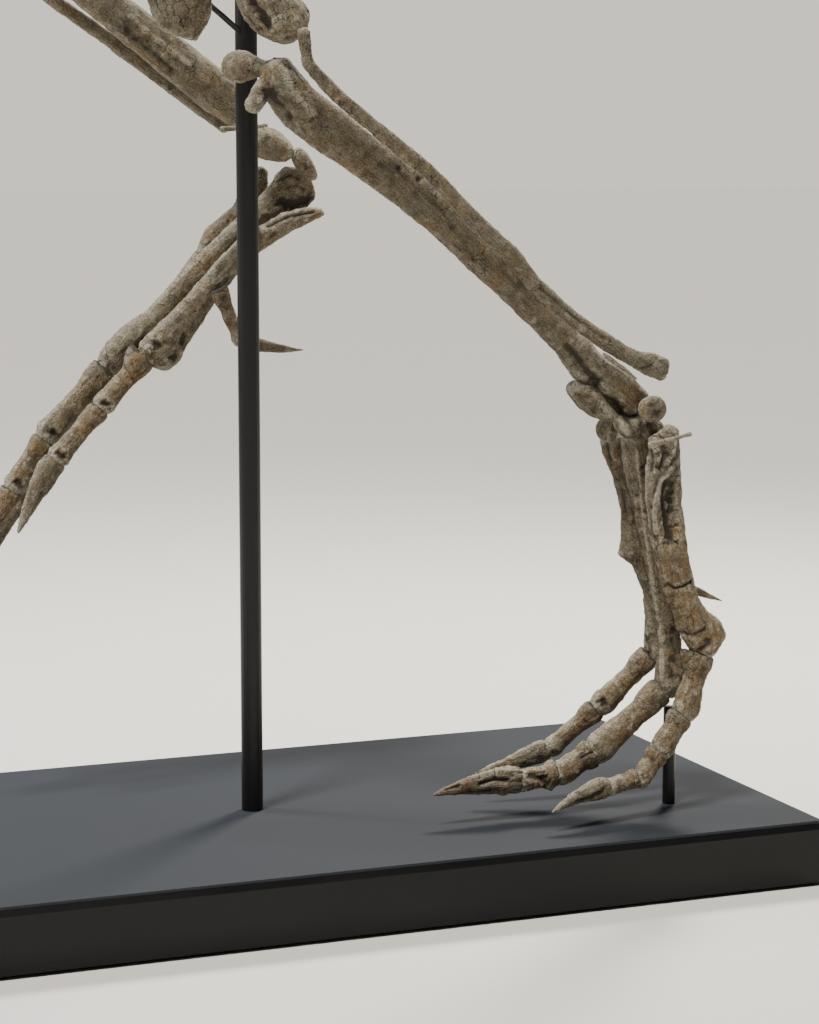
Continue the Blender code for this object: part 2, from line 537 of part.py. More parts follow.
def main():
    for leftover in list(bpy.data.objects):
        bpy.data.objects.remove(leftover)
    fossil = material("fossil bone", "#9c8e78", 0.85)
    board = material("charcoal board", "#46484b", 0.7)
    lacquer = material("black lacquer", "#141414", 0.35)
    steel = material("black steel", "#1b1b1d", 0.4, 0.6)
    build_stand(board, lacquer, steel)
    build_knee(fossil)
    build_left_shin(fossil)
    build_left_ankle(fossil)
    build_left_foot(fossil)
    build_right_shin(fossil)
    build_right_foot(fossil)


main()
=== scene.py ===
import math

import bpy
import numpy as np
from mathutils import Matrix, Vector


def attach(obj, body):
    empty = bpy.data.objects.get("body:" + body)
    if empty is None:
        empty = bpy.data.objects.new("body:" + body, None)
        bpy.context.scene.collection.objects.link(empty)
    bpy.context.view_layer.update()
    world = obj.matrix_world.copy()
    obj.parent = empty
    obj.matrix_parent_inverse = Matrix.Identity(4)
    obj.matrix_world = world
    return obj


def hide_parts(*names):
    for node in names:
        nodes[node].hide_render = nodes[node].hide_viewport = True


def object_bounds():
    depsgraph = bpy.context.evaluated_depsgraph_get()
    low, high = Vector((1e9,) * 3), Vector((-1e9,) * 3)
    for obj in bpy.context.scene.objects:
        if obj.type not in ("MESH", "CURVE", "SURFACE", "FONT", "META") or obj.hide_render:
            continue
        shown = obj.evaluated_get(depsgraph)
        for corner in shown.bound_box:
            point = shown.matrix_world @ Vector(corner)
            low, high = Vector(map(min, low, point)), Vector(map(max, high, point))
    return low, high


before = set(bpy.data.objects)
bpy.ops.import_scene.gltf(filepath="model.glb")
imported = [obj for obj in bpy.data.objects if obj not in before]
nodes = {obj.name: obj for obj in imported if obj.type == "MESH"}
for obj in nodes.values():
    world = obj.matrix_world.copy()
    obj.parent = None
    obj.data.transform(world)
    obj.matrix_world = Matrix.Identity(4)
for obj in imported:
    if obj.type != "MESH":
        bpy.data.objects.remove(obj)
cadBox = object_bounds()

mm = 0.001
standNodes = ["foot_board", "plinth_box", "top_panel", "tall_post", "short_post", "knee_arm",
              "ankle_arm", "pubis_rod"]
boneNodes = sorted(set(nodes) - set(standNodes))
cameraSet = {  # solved from the plinth's edges in the photograph
    "place": (-0.961, -2.936, 0.860),
    "tilt": 82.26, "turn": -21.65,
    "lens": 91.85, "sensor": 36.0, "reach": 200.0,
}


def hexColour(code):
    channels = [int(code[i:i + 2], 16) / 255 for i in (1, 3, 5)]
    linear = [c / 12.92 if c <= 0.04045 else ((c + 0.055) / 1.055) ** 2.4 for c in channels]
    return (*linear, 1.0)


# Adds one node: its settings, its input values, what feeds its inputs, and a ramp's stops.
# A colour mix takes its share at input 0 and its colours at 6 and 7, and gives output 2.
def addNode(tree, kind, settings=None, values=None, links=None, stops=None):
    node = tree.nodes.new(kind)
    for name, value in (settings or {}).items():
        setattr(node, name, value)
    for name, value in (values or {}).items():
        node.inputs[name].default_value = value
    for name, source in (links or {}).items():
        tree.links.new(source, node.inputs[name])
    if stops:
        ramp = node.color_ramp
        while len(ramp.elements) < len(stops):
            ramp.elements.new(0.5)
        for element, (position, colour) in zip(ramp.elements, stops):
            element.position = position
            element.color = hexColour(colour) if isinstance(colour, str) else (*[colour] * 3, 1.0)
    return node


def newFinish(name, values):
    finish = bpy.data.materials.new(name)
    finish.use_nodes = True
    tree = finish.node_tree
    shader = tree.nodes["Principled BSDF"]
    for socket, value in values.items():
        shader.inputs[socket].default_value = value
    return finish, tree, shader


# Mineralised bone, freed from its rock with needles and then consolidated: matt and gritty,
# grey-beige where sand still clings, ochre where it was rubbed clean, nearly black in the hollows
# with dirt and painted shade, and paler on ridges and tops with dust and a painted highlight.
# The map "boneGrain" runs in mm along (x) and across (y, z) each bone.
def preparedFossilBone():
    look = {
        "shade": "#6f6756", "ground": "#8f8771", "pale": "#aaa38d", "crust": "#a39b84",
        # the pale dust colour below also serves as a painted highlight, and the near-black one as dirt with
        # painted shade
        "ochre": "#a07b3e", "rust": "#6a4626", "dust": "#c6c0ad", "cavityDirtAndShade": "#211a12",
        "darkGrain": "#6e6555", "midGrain": "#cfc9bc", "darkFibre": "#a39887",
        # how much of each layer shows at most
        "crustPart": 0.4, "grainPart": 0.85, "fibrePart": 0.55,
        "upDustAndHighlightPart": 0.5, "ridgeDustAndHighlightPart": 0.75, "dirtAndShadePart": 0.84,
        "patchMm": 24.0, "fibreMm": 1.7, "fibreStretch": 14.0,
        "crackMm": 17.0, "crackBendMm": 9.0, "crackAreaMm": 31.0,
        # real grit is 0.3 mm, drawn coarser so that it shows in the picture
        "grainMm": 1.9, "gritMm": 1.6,
        "roughness": (0.72, 0.95),
        # fine relief: strength and height in mm
        "fibreBump": (0.5, 0.9), "grainBump": (1.0, 3.2), "gritBump": (0.8, 1.1), "crackBump": (0.7, 0.8),
    }
    finish, tree, shader = newFinish("preparedFossilBone", {"IOR": 1.6, "Metallic": 0.0})
    along = addNode(tree, "ShaderNodeAttribute", {"attribute_name": "boneGrain"}).outputs["Vector"]
    # tone: red is the relief (0 in hollows, 0.5 flat, 1 on ridges), green the ochre, blue the rust,
    # and alpha the crust of rock that was left on
    tone = addNode(tree, "ShaderNodeAttribute", {"attribute_name": "boneTone"}).outputs
    tones = addNode(tree, "ShaderNodeSeparateColor", links={"Color": tone["Color"]}).outputs
    relief, ochre, rust, crust = tones["Red"], tones["Green"], tones["Blue"], tone["Alpha"]

    patch = addNode(tree, "ShaderNodeTexNoise", values={
        "Scale": 1 / look["patchMm"], "Detail": 5.0, "Roughness": 0.62},
        links={"Vector": along}).outputs["Fac"]
    grain = addNode(tree, "ShaderNodeTexNoise", values={
        "Scale": 1 / look["grainMm"], "Detail": 6.0, "Roughness": 0.75},
        links={"Vector": along}).outputs["Fac"]
    stretched = addNode(tree, "ShaderNodeMapping", values={
        "Scale": (1 / look["fibreStretch"], 1.0, 1.0)}, links={"Vector": along}).outputs["Vector"]
    fibre = addNode(tree, "ShaderNodeTexNoise", values={
        "Scale": 1 / look["fibreMm"], "Detail": 4.0, "Roughness": 0.6, "Distortion": 0.6},
        links={"Vector": stretched}).outputs["Fac"]
    grit = addNode(tree, "ShaderNodeTexVoronoi", {"feature": "F1"}, {
        "Scale": 1 / look["gritMm"], "Randomness": 1.0}, {"Vector": along}).outputs["Distance"]

    # cracks run round bent cells, in some areas only
    bend = look["crackBendMm"]
    bent = addNode(tree, "ShaderNodeTexNoise", values={"Scale": 1 / bend, "Detail": 3.0},
                   links={"Vector": along}).outputs["Color"]
    crackWay = addNode(tree, "ShaderNodeVectorMath", {"operation": "MULTIPLY_ADD"}, {1: (bend, bend, bend)},
                       {0: bent, 2: along}).outputs["Vector"]
    crackCells = addNode(tree, "ShaderNodeTexVoronoi", {"feature": "DISTANCE_TO_EDGE"}, {
        "Scale": 1 / look["crackMm"]}, {"Vector": crackWay}).outputs["Distance"]
    crackArea = addNode(tree, "ShaderNodeTexNoise", values={
        "Scale": 1 / look["crackAreaMm"], "Detail": 2.0}, links={"Vector": along}).outputs["Fac"]
    crackShare = addNode(tree, "ShaderNodeValToRGB", links={"Fac": crackArea},
                         stops=[(0.50, 0.0), (0.60, 1.0)]).outputs["Color"]
    crackLine = addNode(tree, "ShaderNodeValToRGB", links={"Fac": crackCells},
                        stops=[(0.0, 1.0), (0.035, 0.0)]).outputs["Color"]
    crack = addNode(tree, "ShaderNodeMath", {"operation": "MULTIPLY"},
                    links={0: crackLine, 1: crackShare}).outputs["Value"]

    colour = addNode(tree, "ShaderNodeValToRGB", links={"Fac": patch}, stops=[
        (0.30, look["shade"]), (0.48, look["ground"]), (0.70, look["pale"])]).outputs["Color"]
    ochrePatch = addNode(tree, "ShaderNodeValToRGB", links={"Fac": patch},
                         stops=[(0.36, 0.2), (0.62, 0.8)]).outputs["Color"]
    ochreShare = addNode(tree, "ShaderNodeMath", {"operation": "MULTIPLY"},
                         links={0: ochre, 1: ochrePatch}).outputs["Value"]
    colour = addNode(tree, "ShaderNodeMix", {"data_type": "RGBA"}, {7: hexColour(look["ochre"])},
                     {0: ochreShare, 6: colour}).outputs[2]
    crustShare = addNode(tree, "ShaderNodeMath", {"operation": "MULTIPLY"}, {1: look["crustPart"]},
                         {0: crust}).outputs["Value"]
    colour = addNode(tree, "ShaderNodeMix", {"data_type": "RGBA"}, {7: hexColour(look["crust"])},
                     {0: crustShare, 6: colour}).outputs[2]
    grainTint = addNode(tree, "ShaderNodeValToRGB", links={"Fac": grain}, stops=[
        (0.38, look["darkGrain"]), (0.48, look["midGrain"]), (0.58, "#ffffff")]).outputs["Color"]
    fibreTint = addNode(tree, "ShaderNodeValToRGB", links={"Fac": fibre}, stops=[
        (0.36, look["darkFibre"]), (0.55, "#ffffff")]).outputs["Color"]
    for part, tint in (("grainPart", grainTint), ("fibrePart", fibreTint)):
        colour = addNode(tree, "ShaderNodeMix", {"data_type": "RGBA", "blend_type": "MULTIPLY"},
                         {0: look[part]}, {6: colour, 7: tint}).outputs[2]

    # dust and pale matrix lie on ridges and on what faces up, and the same pale is a painted highlight
    # there
    facing = addNode(tree, "ShaderNodeNewGeometry").outputs["Normal"]
    upward = addNode(tree, "ShaderNodeSeparateXYZ", links={"Vector": facing}).outputs["Z"]
    upDustAndHighlight = addNode(tree, "ShaderNodeMapRange", values={
        "From Min": 0.1, "From Max": 0.9, "To Max": look["upDustAndHighlightPart"]},
        links={"Value": upward}).outputs["Result"]
    ridgeDustAndHighlight = addNode(tree, "ShaderNodeMapRange", values={
        "From Min": 0.52, "From Max": 0.80, "To Max": look["ridgeDustAndHighlightPart"]},
        links={"Value": relief}).outputs["Result"]
    dustAndHighlightBoth = addNode(tree, "ShaderNodeMath", {"operation": "ADD", "use_clamp": True},
                       links={0: upDustAndHighlight, 1: ridgeDustAndHighlight}).outputs["Value"]
    dustAndHighlightGrain = addNode(tree, "ShaderNodeValToRGB", links={"Fac": grain},
                        stops=[(0.38, 0.15), (0.60, 1.0)]).outputs["Color"]
    dustAndHighlightShare = addNode(tree, "ShaderNodeMath", {"operation": "MULTIPLY"},
                        links={0: dustAndHighlightBoth, 1: dustAndHighlightGrain}).outputs["Value"]

    # dirt left in hollows, pores and cracks, with painted shade laid in the hollows and pores too
    dirtAndShadeInHollows = addNode(tree, "ShaderNodeMapRange", values={
        "From Min": 0.38, "From Max": 0.04, "To Max": look["dirtAndShadePart"]},
        links={"Value": relief}).outputs["Result"]
    dirtAndShadeShare = addNode(tree, "ShaderNodeMath", {"operation": "MAXIMUM"},
                        links={0: dirtAndShadeInHollows, 1: crack}).outputs["Value"]
    # laid on in turn: dust with a painted highlight, rust, then dirt with painted shade
    for layer, share in (("dust", dustAndHighlightShare), ("rust", rust), ("cavityDirtAndShade", dirtAndShadeShare)):
        colour = addNode(tree, "ShaderNodeMix", {"data_type": "RGBA"}, {7: hexColour(look[layer])},
                         {0: share, 6: colour}).outputs[2]
    tree.links.new(colour, shader.inputs["Base Color"])

    low, high = look["roughness"]
    roughness = addNode(tree, "ShaderNodeMapRange", values={
        "From Min": 0.3, "From Max": 0.7, "To Min": low, "To Max": high},
        links={"Value": grain}).outputs["Result"]
    tree.links.new(roughness, shader.inputs["Roughness"])

    # relief too fine for the mesh; what lies high in the grit and crack patterns is cut in
    below = {}
    for part, height in (("fibre", fibre), ("grain", grain), ("grit", grit), ("crack", crack)):
        strength, high = look[part + "Bump"]
        bump = addNode(tree, "ShaderNodeBump", {"invert": part in ("grit", "crack")}, {
            "Strength": strength, "Distance": high * mm}, {"Height": height, **below}).outputs["Normal"]
        below = {"Normal": bump}
    tree.links.new(bump, shader.inputs["Normal"])
    return finish


# Wood-fibre board, roller painted in matt charcoal: no gloss, a fine stipple and a little dust.
def rollerPaintedBoard():
    look = {
        "paint": "#272b31", "worn": "#2d3238", "dust": "#7c7f83",
        "cloudMm": 160.0, "dustMm": 11.0, "stippleMm": 2.4,
        "roughness": (0.80, 0.92), "bump": (0.25, 0.15),  # of the stipple: strength and height in mm
    }
    finish, tree, shader = newFinish("rollerPaintedBoard", {
        "IOR": 1.5, "Metallic": 0.0, "Specular IOR Level": 0.35})
    place = addNode(tree, "ShaderNodeTexCoord").outputs["Object"]
    cloud = addNode(tree, "ShaderNodeTexNoise", values={
        "Scale": 1 / (look["cloudMm"] * mm), "Detail": 4.0}, links={"Vector": place}).outputs["Fac"]
    stipple = addNode(tree, "ShaderNodeTexNoise", values={
        "Scale": 1 / (look["stippleMm"] * mm), "Detail": 3.0}, links={"Vector": place}).outputs["Fac"]
    colour = addNode(tree, "ShaderNodeMix", {"data_type": "RGBA"}, {
        6: hexColour(look["paint"]), 7: hexColour(look["worn"])}, {0: cloud}).outputs[2]
    flecks = addNode(tree, "ShaderNodeTexVoronoi", {"feature": "F1"}, {
        "Scale": 1 / (look["dustMm"] * mm)}, {"Vector": place}).outputs["Distance"]
    fleck = addNode(tree, "ShaderNodeValToRGB", links={"Fac": flecks},
                    stops=[(0.0, 0.6), (0.055, 0.0)]).outputs["Color"]
    colour = addNode(tree, "ShaderNodeMix", {"data_type": "RGBA"}, {7: hexColour(look["dust"])},
                     {0: fleck, 6: colour}).outputs[2]
    tree.links.new(colour, shader.inputs["Base Color"])
    low, high = look["roughness"]
    roughness = addNode(tree, "ShaderNodeMapRange", values={"To Min": low, "To Max": high},
                        links={"Value": cloud}).outputs["Result"]
    tree.links.new(roughness, shader.inputs["Roughness"])
    strength, high = look["bump"]
    bump = addNode(tree, "ShaderNodeBump", values={"Strength": strength, "Distance": high * mm},
                   links={"Height": stipple}).outputs["Normal"]
    tree.links.new(bump, shader.inputs["Normal"])
    return finish


# Satin black lacquer sprayed on wood: a soft, even sheen with a faint orange peel.
def sprayedBlackLacquer():
    look = {
        "lacquer": "#070708", "thin": "#0e0e0f", "cloudMm": 90.0, "peelMm": 3.5,
        "roughness": (0.28, 0.42), "bump": (0.12, 0.1),  # of the peel: strength and height in mm
    }
    finish, tree, shader = newFinish("sprayedBlackLacquer", {
        "IOR": 1.5, "Metallic": 0.0, "Specular IOR Level": 0.25})
    place = addNode(tree, "ShaderNodeTexCoord").outputs["Object"]
    cloud = addNode(tree, "ShaderNodeTexNoise", values={
        "Scale": 1 / (look["cloudMm"] * mm), "Detail": 3.0}, links={"Vector": place}).outputs["Fac"]
    peel = addNode(tree, "ShaderNodeTexNoise", values={
        "Scale": 1 / (look["peelMm"] * mm), "Detail": 1.0}, links={"Vector": place}).outputs["Fac"]
    colour = addNode(tree, "ShaderNodeMix", {"data_type": "RGBA"}, {
        6: hexColour(look["lacquer"]), 7: hexColour(look["thin"])}, {0: cloud}).outputs[2]
    tree.links.new(colour, shader.inputs["Base Color"])
    low, high = look["roughness"]
    roughness = addNode(tree, "ShaderNodeMapRange", values={"To Min": low, "To Max": high},
                        links={"Value": cloud}).outputs["Result"]
    tree.links.new(roughness, shader.inputs["Roughness"])
    strength, high = look["bump"]
    bump = addNode(tree, "ShaderNodeBump", values={"Strength": strength, "Distance": high * mm},
                   links={"Height": peel}).outputs["Normal"]
    tree.links.new(bump, shader.inputs["Normal"])
    return finish


# Steel bar with a satin black powder coat: a soft grey streak down each round bar.
def powderCoatedSteel():
    look = {
        "coat": "#0a0a0b", "thin": "#121214", "cloudMm": 45.0, "pebbleMm": 1.6,
        "roughness": (0.34, 0.46), "bump": (0.2, 0.12),  # of the pebbled skin: strength and height in mm
    }
    finish, tree, shader = newFinish("powderCoatedSteel", {
        "IOR": 1.5, "Metallic": 0.0, "Specular IOR Level": 0.4})
    place = addNode(tree, "ShaderNodeTexCoord").outputs["Object"]
    cloud = addNode(tree, "ShaderNodeTexNoise", values={
        "Scale": 1 / (look["cloudMm"] * mm), "Detail": 3.0}, links={"Vector": place}).outputs["Fac"]
    pebble = addNode(tree, "ShaderNodeTexNoise", values={
        "Scale": 1 / (look["pebbleMm"] * mm), "Detail": 2.0}, links={"Vector": place}).outputs["Fac"]
    colour = addNode(tree, "ShaderNodeMix", {"data_type": "RGBA"}, {
        6: hexColour(look["coat"]), 7: hexColour(look["thin"])}, {0: cloud}).outputs[2]
    tree.links.new(colour, shader.inputs["Base Color"])
    low, high = look["roughness"]
    roughness = addNode(tree, "ShaderNodeMapRange", values={"To Min": low, "To Max": high},
                        links={"Value": pebble}).outputs["Result"]
    tree.links.new(roughness, shader.inputs["Roughness"])
    strength, high = look["bump"]
    bump = addNode(tree, "ShaderNodeBump", values={"Strength": strength, "Distance": high * mm},
                   links={"Height": pebble}).outputs["Normal"]
    tree.links.new(bump, shader.inputs["Normal"])
    return finish


boneFinish = preparedFossilBone()
boardFinish = rollerPaintedBoard()
lacquerFinish = sprayedBlackLacquer()
steelFinish = powderCoatedSteel()
print("finishes made")


# noise: the length of the tables, the large primes that scatter the cells over them, the factor
# that brings the values to about -1 to 1, and how many seeds there are for the bones
noiseSet = {"table": 4096, "primes": (73856093, 19349663, 83492791), "gain": 1.5, "seeds": 9973}


# the table row for each cell
def tableRow(cells):
    x, y, z = (cells[:, axis] * prime for axis, prime in enumerate(noiseSet["primes"]))
    return (x ^ y ^ z) & (noiseSet["table"] - 1)


# smooth noise at points given in cells, the same on every run for one seed
def softNoise(points, seed):
    table = np.random.RandomState(seed).normal(size=(noiseSet["table"], 3))
    table /= np.linalg.norm(table, axis=1)[:, None]
    cell = np.floor(points).astype(np.int64)
    part = points - cell
    fade = part ** 3 * (part * (part * 6 - 15) + 10)  # eases from 0 to 1 across the cell
    total = np.zeros(len(points))
    for corner in range(8):
        step = np.array([(corner >> axis) & 1 for axis in range(3)])
        weight = np.where(step, fade, 1 - fade).prod(axis=1)
        total += weight * ((part - step) * table[tableRow(cell + step)]).sum(axis=1)
    return total * noiseSet["gain"]


# the distance in cells from each point to the nearest of one scattered spot per cell, and a number
# from 0 to 1 that belongs to this spot
def nearestSpot(points, seed):
    table = np.random.RandomState(seed).uniform(size=(noiseSet["table"], 4))
    cell = np.floor(points).astype(np.int64)
    nearest = np.full(len(points), np.inf)
    number = np.zeros(len(points))
    for step in np.ndindex(3, 3, 3):
        at = cell + step - 1
        row = table[tableRow(at)]
        distance = np.linalg.norm(at + row[:, :3] - points, axis=1)
        closer = distance < nearest
        nearest = np.where(closer, distance, nearest)
        number = np.where(closer, row[:, 3], number)
    return nearest, number


class BoneSkin:  # a bone's dense mesh as arrays, in mm
    pullShare = 0.5  # how far one round of relaxing takes a value towards its neighbours

    def __init__(self, mesh):
        count = len(mesh.vertices)
        flat = np.empty(count * 3)
        mesh.vertices.foreach_get("co", flat)
        self.points = flat.reshape(-1, 3) * 1000
        flat = np.empty(len(mesh.edges) * 2, np.int32)
        mesh.edges.foreach_get("vertices", flat)
        self.edges = flat.reshape(-1, 2)
        self.near = np.maximum(np.bincount(self.edges.ravel(), minlength=count), 1)
        self.corners = np.empty(len(mesh.polygons) * 4, np.int32)
        mesh.polygons.foreach_get("vertices", self.corners)
        self.corners = self.corners.reshape(-1, 4)

    # each value is pulled towards the mean of its neighbours, some rounds over
    def relaxed(self, values, rounds):
        values = np.array(values, float)
        columns = values.reshape(len(values), -1)
        first, second = self.edges.T
        for _ in range(int(rounds)):
            for k in range(columns.shape[1]):
                column = columns[:, k]
                total = np.bincount(first, column[second], len(column))
                total = total + np.bincount(second, column[first], len(column))
                columns[:, k] = column + self.pullShare * (total / self.near - column)
        return columns.reshape(values.shape)

    def normals(self):
        quads = self.points[self.corners]
        across = np.cross(quads[:, 2] - quads[:, 0], quads[:, 3] - quads[:, 1])
        total = np.zeros_like(self.points)
        for k in range(4):
            for axis in range(3):
                total[:, axis] += np.bincount(self.corners[:, k], across[:, axis], len(total))
        return total / np.maximum(np.linalg.norm(total, axis=1), 1e-9)[:, None]


boneSurface = {
    "meshMm": {"long": 1.9, "foot": 1.4, "toe": 1.15, "sliver": 0.8},
    # the plain facets of the CAD bone are smoothed over this distance, though over no more than
    # some cells of the mesh, and those of the small ankle bones over more
    "facetMm": 3.4, "facetCells": 2.6, "roundMm": 5.5,
    # size and height of the relief that noise gives, in mm
    "lumpMm": 24.0, "lumpHigh": 0.9,
    "knobMm": 9.0, "knobHigh": 0.7,
    "streakMm": 3.4, "streakStretch": 8.0, "streakHigh": 0.45,
    "gritMm": 2.8, "gritHigh": 1.2, "gritLevel": 0.25,
    "crustMm": 12.0, "crustHigh": 0.5, "crustLevel": 0.4,
    "crustSteep": 5.0, "crustShare": 0.3,  # how sharp its edge is, and how much of it there is
    "crustFrayMm": 4.0, "crustFray": 0.4,  # and how its edge is frayed
    # pits: one in each cell of this size at most, its width in cells, the depth in mm, the share of
    # cells that have one, and the shallowest one's share of the depth
    "pitMm": 11.0, "pitWide": 0.17, "pitDeep": 1.5, "pitShare": 0.45, "pitShallow": 0.4,
    "fullReliefMm": 24.0, "leastRelief": 0.25,  # bones less thick than this get less relief
    "seedStep": 1.37,  # shifts each bone to a place of its own in the noise
    # fullness given to the lower end and the waist of each bone of the foot, in mm, and where
    "ballMm": 2.6, "ballFrom": 0.72, "ballFade": 0.16,
    "waistMm": 1.2, "waistAt": 0.55, "waistWide": 0.2,
    # upper ends are worn round: from where along the bone, and over what part this fades in
    "rimMm": 5.5,
    "rimPart": {"phalanx": (0.24, 0.1), "left_tibia": (0.03, 0.03), "right_metatarsal": (0.08, 0.05)},
    "raggedMm": 4.0, "ragged": 0.5,  # how much the edges of the marks below wander
    "markFacing": 2.5,  # and how soon they fade in where the bone turns to the camera
    "swellMm": 0.35,  # grows each bone a little, so that joints close to thin dark seams
    # relief for the colour, which darkens low places with dirt and painted shade and pales high ones with
    # dust
    # and a painted highlight: how wide its hollows and ridges are, the value of plain skin (paler on the
    # thinnest bones), and what each mm of height or of a mark adds
    "reliefMm": 4.0, "reliefPlain": 0.5, "reliefSliver": 0.72, "reliefStand": 0.5, "reliefMark": 0.035,
    "reliefRounds": 4,  # of relaxing, so that single grains don't speckle it
    "seamShadeAndDirt": 0.7, "seamPart": 0.07,  # how dark the toes' seams are, with dirt and painted shade, over what part of the bone
}

# The small bones of the ankles are packed tight, so they grow more, in mm.
packedBones = {"left_middle_tarsal": 4.0, "left_outer_tarsal": 4.0, "left_inner_tarsal": 3.0,
               "left_calcaneum": 2.2, "left_astragalus": 3.0, "right_tarsal": 3.0,
               "right_astragalus": 3.0}

# Ends and edges drawn out to meet the next bone: a spot on the bone, the reach and the move, in mm.
pulls = {
    "left_tibia": [
        ((430, -150, 560), 17, (4, 0, -8)), ((438, -160, 580), 15, (7, 0, 2)),  # lower end
        ((362, -150, 648), 26, (6, 0, 8)), ((412, -150, 607), 26, (7, 0, 9)),  # towards the fibula
        ((-20, -150, 977), 15, (2, 0, -9)),  # back corner of the upper end
        ((350, -160, 612), 16, (-4, 0, -6)), ((378, -160, 584), 16, (-4, 0, -6)),  # over the astragalus
    ],
    "left_astragalus": [((368, -155, 580), 26, (5, 0, 7))],
    "left_calcaneum": [((448, -180, 565), 40, (-4, 0, 0))],
    "left_middle_tarsal": [
        ((421, -160, 535), 9, (0, 0, -8)), ((407, -160, 549), 10, (-6, 0, 10)),
        ((437, -160, 549), 10, (5, 0, 14)),
    ],
    "left_inner_tarsal": [((401, -138, 531), 10, (1, 0, -6)), ((403, -138, 547), 10, (3, 0, 5))],
    "left_outer_tarsal": [((444, -172, 535), 12, (0, 0, -7)), ((444, -172, 550), 12, (0, 0, 5))],
    "left_metatarsal_3": [((419, -158, 526), 15, (-2, 0, 8)), ((442, -158, 523), 15, (4, 0, 10))],
    "left_metatarsal_2": [((409, -127, 522), 14, (0, 0, 6))],
    "left_metatarsal_4": [
        ((441, -189, 526), 12, (-6, 0, 6)), ((456, -189, 540), 10, (0, 0, 3)),
        ((508, -212, 284), 12, (4, 0, -6)),  # outer corner of the lower end
    ],
    "left_toe_4_phalanx_1": [((505, -225, 271), 11, (-6, 0, -4))],
    "left_toe_3_claw": [((259, -168, 113), 6, (0, 0, -5)), ((225, -168, 114), 5, (0, 0, -2))],
    "left_toe_3_phalanx_3": [((317, -168, 113), 7, (3, 0, -11))],  # spur under the claw's base
    "right_toe_2_phalanx_1": [((-121, 72, 641), 11, (4, 0, -8))],
    "right_tarsal": [((100, 100, 852), 16, (-4, 0, -3))],
    "right_fibula": [((-136, 110, 971), 130, (3, 0, 6))],
    "right_astragalus": [((80, 100, 868), 16, (3, 0, -6))],
}

